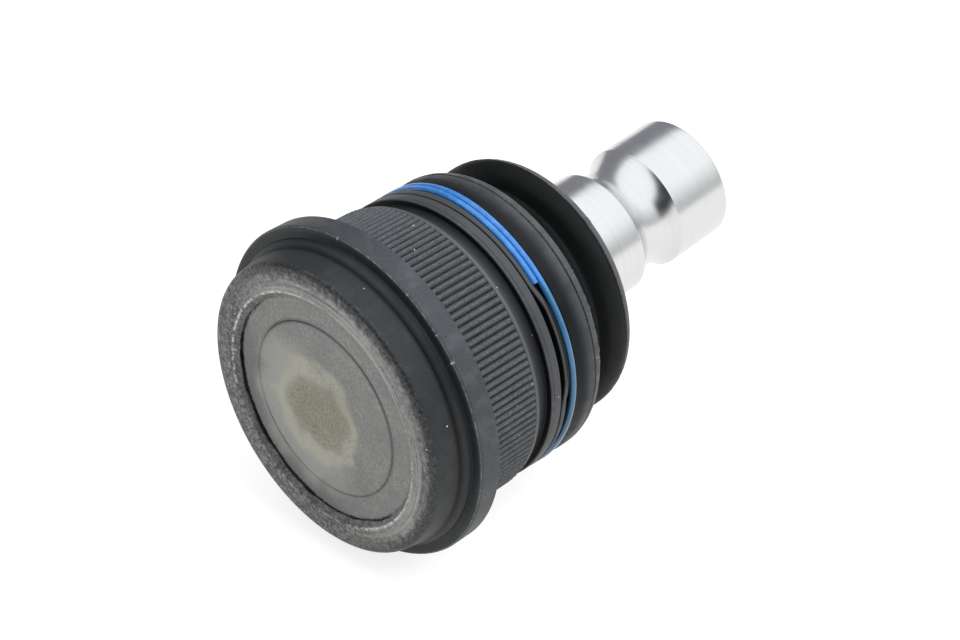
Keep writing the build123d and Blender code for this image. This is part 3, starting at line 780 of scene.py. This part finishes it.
def rubber():
    """Matt moulded rubber with a faint bloom and dust, blacker on the second bulge; painted light on the
    first bulge's shoulder and on one side of the second bulge, and painted shade in the gap between the bead
    and the rim.
    """
    m = Recipe("rubber", roughness=0.5)
    x, radius, y, z = m.axial()
    cloud = m.noise(m.own(), 0.4, 4.0)
    fine = m.noise(m.own(), 7.0, 3.0)
    # The first bulge lightens from near the wire towards its shoulder with painted light.
    up_bulge = m.span(x, 11.0, 14.5)
    first = m.mix(up_bulge, (0.004, 0.0045, 0.006), (0.05, 0.053, 0.06))
    first = m.mix(m.span(cloud, 0.4, 0.7, 0.0, 0.5), first, (0.012, 0.013, 0.016))
    bead = m.span(x, BOOT_FROM_X + 1.2, BOOT_FROM_X + 1.0)
    first = m.mix(bead, first, (0.04, 0.042, 0.045))
    # Painted shade: the bead's face towards the rim, in the gap between them, is near-black.
    inside = m.math("MULTIPLY", bead, m.span(radius, 24.62, 24.5))
    first = m.mix(inside, first, (0.001, 0.001, 0.001))
    ragged = m.noise(m.own(), 2.4, 4.0, 0.8)
    line = m.math("ADD", x, m.math("MULTIPLY", m.math("SUBTRACT", ragged, 0.25), 1.0))
    parting = m.math("MULTIPLY", m.band(line, BULGE_1_END_X - 1.28, BULGE_1_END_X - 1.1, 0.12),
                     m.span(radius, BULGE_1_R - 0.8, BULGE_1_R - 0.5))
    first = m.mix(parting, first, (0.002, 0.002, 0.002))
    # The second bulge is near-black, with painted light making it lighter towards 200 degrees about the axis.
    second = m.mix(m.facing(y, z, 200), (0.0025, 0.0028, 0.003), (0.013, 0.0136, 0.0145))
    edge_line = m.math("ADD", x, m.math("MULTIPLY", ragged, 0.6))
    rear = m.math("MULTIPLY", m.span(edge_line, BULGE_2_LINE_X - 0.5, BULGE_2_LINE_X - 0.3),
                  m.span(x, 26.5, 25.5))
    second = m.mix(m.math("MULTIPLY", rear, 0.85), second, (0.085, 0.088, 0.093))
    seam = m.math("MULTIPLY", m.band(edge_line, BULGE_2_LINE_X - 0.75, BULGE_2_LINE_X - 0.55, 0.1),
                  m.span(radius, BULGE_2_R - 1.7, BULGE_2_R - 1.2))
    second = m.mix(seam, second, (0.001, 0.001, 0.001))
    after_first = m.span(x, BULGE_1_END_X + 0.2, BULGE_1_END_X + 1.6)
    colour = m.mix(after_first, first, second)
    colour = m.mix(m.flecks(0.08, 0.12), colour, (0.4, 0.42, 0.45))
    m.feed(m.shader.inputs["Base Color"], colour)
    gloss = m.mix(after_first, m.mix(up_bulge, (0.2, 0.2, 0.2), (0.6, 0.6, 0.6)), (0.17, 0.17, 0.17))
    m.feed(m.shader.inputs["Specular IOR Level"], m.mix(bead, gloss, (0.45, 0.45, 0.45)))
    m.feed(m.shader.inputs["Roughness"], m.span(cloud, 0.3, 0.7, 0.42, 0.56))
    m.bump(fine, 0.3, 0.00006)
    return m.material


def blue_wire():
    """Spring wire with a smooth blue coat, thin in places."""
    m = Recipe("blue_wire", roughness=0.3, coat_weight=0.8, coat_roughness=0.18)
    patches = m.noise(m.own(), 0.9, 4.0)
    _, _, y, z = m.axial()
    colour = m.mix(m.span(patches, 0.4, 0.8), (0.012, 0.15, 0.48), (0.03, 0.24, 0.62))
    teal = m.arc(y, z, 142, 200, 10)
    colour = m.mix(m.math("MULTIPLY", teal, 0.75), colour, (0.03, 0.13, 0.22))
    m.feed(m.shader.inputs["Base Color"], colour)
    m.bump(m.noise(m.own(), 3.0), 0.1, 0.00002)
    return m.material


def plain(name, low, high, scale, roughness, metallic=0.0):
    """Moulded plastic or drawn wire: a fine two-tone grain with a matching bump, from object coordinates."""
    m = Recipe(name, metallic=metallic, roughness=roughness)
    place = m.node("TexCoord").outputs["Object"]
    grain = m.noise(place, scale / MM, 4.0)
    m.feed(m.shader.inputs["Base Color"], m.mix(m.span(grain, 0.3, 0.7), low, high))
    m.bump(grain, 0.2, 0.00004)
    return m.material


def dress(piece, material):
    piece.data.materials.clear()
    piece.data.materials.append(material)


# ---------------------------------------------------------------- stage

def make_floor():
    """Pale floor that the camera and reflections see as white, with a soft shadow."""
    half = 3.0
    z = -FLANGE_R * MM
    mesh = bpy.data.meshes.new("floor")
    corners = [(-half, -half, z), (half, -half, z), (half, half, z), (-half, half, z)]
    mesh.from_pydata(corners, [], [(0, 1, 2, 3)])
    floor = bpy.data.objects.new("floor", mesh)
    bpy.context.scene.collection.objects.link(floor)
    m = Recipe("floor", base_color=(0.3, 0.3, 0.3), roughness=1.0, specular_ior_level=0.0)
    path = m.node("LightPath")
    seen = m.math("MAXIMUM", path.outputs["Is Camera Ray"], path.outputs["Is Glossy Ray"])
    colour = m.mix(path.outputs["Is Camera Ray"], (0.86, 0.85, 0.81), (1, 1, 1))
    m.feed(m.shader.inputs["Emission Color"], colour)
    m.feed(m.shader.inputs["Emission Strength"], m.math("MULTIPLY", seen, 0.8))
    dress(floor, m.material)


def make_world():
    """White tent: a bright roof and right side, a grey far side, and one dark stand beside the camera."""
    world = bpy.data.worlds.new("tent")
    bpy.context.scene.world = world
    world.use_nodes = True
    tree = world.node_tree
    background = tree.nodes["Background"]
    m = Nodes(tree)
    direction = m.node("TexCoord").outputs["Generated"]

    def along(x, y, z):
        return m.node("VectorMath", {0: direction, 1: (x, y, z)}, operation="DOT_PRODUCT").outputs["Value"]

    up = along(0, 0, 1)
    far = along(0.34, 0.94, 0)
    near_side = m.span(up, 0.0, 0.7, 0.58, 1.3)
    lit = m.span(m.math("SUBTRACT", up, far), -0.05, 0.3)
    dark = (0.265, 0.272, 0.295)
    tent = m.mix(lit, dark, m.vector(m.math("MULTIPLY", near_side, 0.97), near_side, near_side))
    panel = m.span(along(0.975, 0.08, 0.2), 0.85, 0.95)
    tent = m.mix(panel, tent, (1.1, 1.1, 1.12))
    stand = m.math("MULTIPLY", m.span(along(-0.805, -0.585, 0.1), 0.55, 0.75), m.span(up, 0.7, 0.48))
    m.feed(background.inputs["Color"], m.mix(stand, tent, (0.03, 0.031, 0.038)))
    path = m.node("LightPath")
    white = m.node("Background", {"Color": (1, 1, 1), "Strength": 1.0})
    chooser = m.node("MixShader", {0: path.outputs["Is Camera Ray"]})
    m.tree.links.new(background.outputs[0], chooser.inputs[1])
    m.tree.links.new(white.outputs[0], chooser.inputs[2])
    m.tree.links.new(chooser.outputs[0], tree.nodes["World Output"].inputs["Surface"])


def make_lamp(name, place, size, power):
    """Soft square lamp aimed at the joint."""
    data = bpy.data.lights.new(name, "AREA")
    data.shape = "SQUARE"
    data.size = size
    data.energy = power
    lamp = bpy.data.objects.new(name, data)
    lamp.location = place
    lamp.visible_glossy = False
    lamp.rotation_euler = (-Vector(place)).to_track_quat("-Z", "Y").to_euler()
    bpy.context.scene.collection.objects.link(lamp)


def make_camera():
    """The photograph's view of the joint."""
    data = bpy.data.cameras.new("camera")
    data.sensor_width = SENSOR_WIDTH
    data.lens = SENSOR_WIDTH * FOCAL_PIXELS / IMAGE_WIDTH
    data.clip_start = 0.01
    camera = bpy.data.objects.new("camera", data)
    right = Vector((0.69210, -0.72180, 0))
    up = Vector((0.41311, 0.39611, 0.82002))
    back = right.cross(up)
    place = Matrix.Translation((-0.1895, -0.1949, 0.1959))
    camera.matrix_world = place @ Matrix((right, up, back)).transposed().to_4x4()
    bpy.context.scene.collection.objects.link(camera)
    bpy.context.scene.camera = camera


# ---------------------------------------------------------------- the joint

make_camera()
make_floor()
make_world()
make_lamp("key", (0.13, -0.4, 0.6), 0.6, 4.6)
bpy.context.scene.view_settings.view_transform = "Standard"

RUBBER = rubber()
pieces = [
    (make_housing(), dark_steel(), "housing", "housing", "housing_steel"),
    (make_cover(), cover_steel(), "housing", "cover_plate", "cover_steel"),
    (make_wire(), blue_wire(), "housing", "boot_clamp_ring", "ring_wire"),
    (make_stud(), ground_steel(), "stud", "ball_stud", "stud_steel"),
    (make_insert(), plain("insert_plastic", (0.04, 0.04, 0.042), (0.07, 0.07, 0.072), 3.0, 0.5), "boot_end",
     "boot_insert", "insert_plastic"),
    (make_small_ring(), plain("ring_steel", (0.4, 0.4, 0.41), (0.5, 0.5, 0.51), 3.0, 0.35, 0.9), "boot_end",
     "small_clamp_ring", "small_ring_wire"),
]
for piece, material, body, node, slot in pieces:
    dress(piece, material)
    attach(piece, body)
    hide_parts(node)

lower = make_boot_lower()
upper = make_boot_upper()
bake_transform(lower)
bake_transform(upper)
for piece in (lower, upper):
    dress(piece, RUBBER)
    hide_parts("dust_boot")

bearing = plain("acetal", (0.74, 0.72, 0.66), (0.82, 0.8, 0.75), 2.0, 0.45)
for node in ("lower_bearing", "upper_bearing"):
    dress(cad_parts[node], bearing)
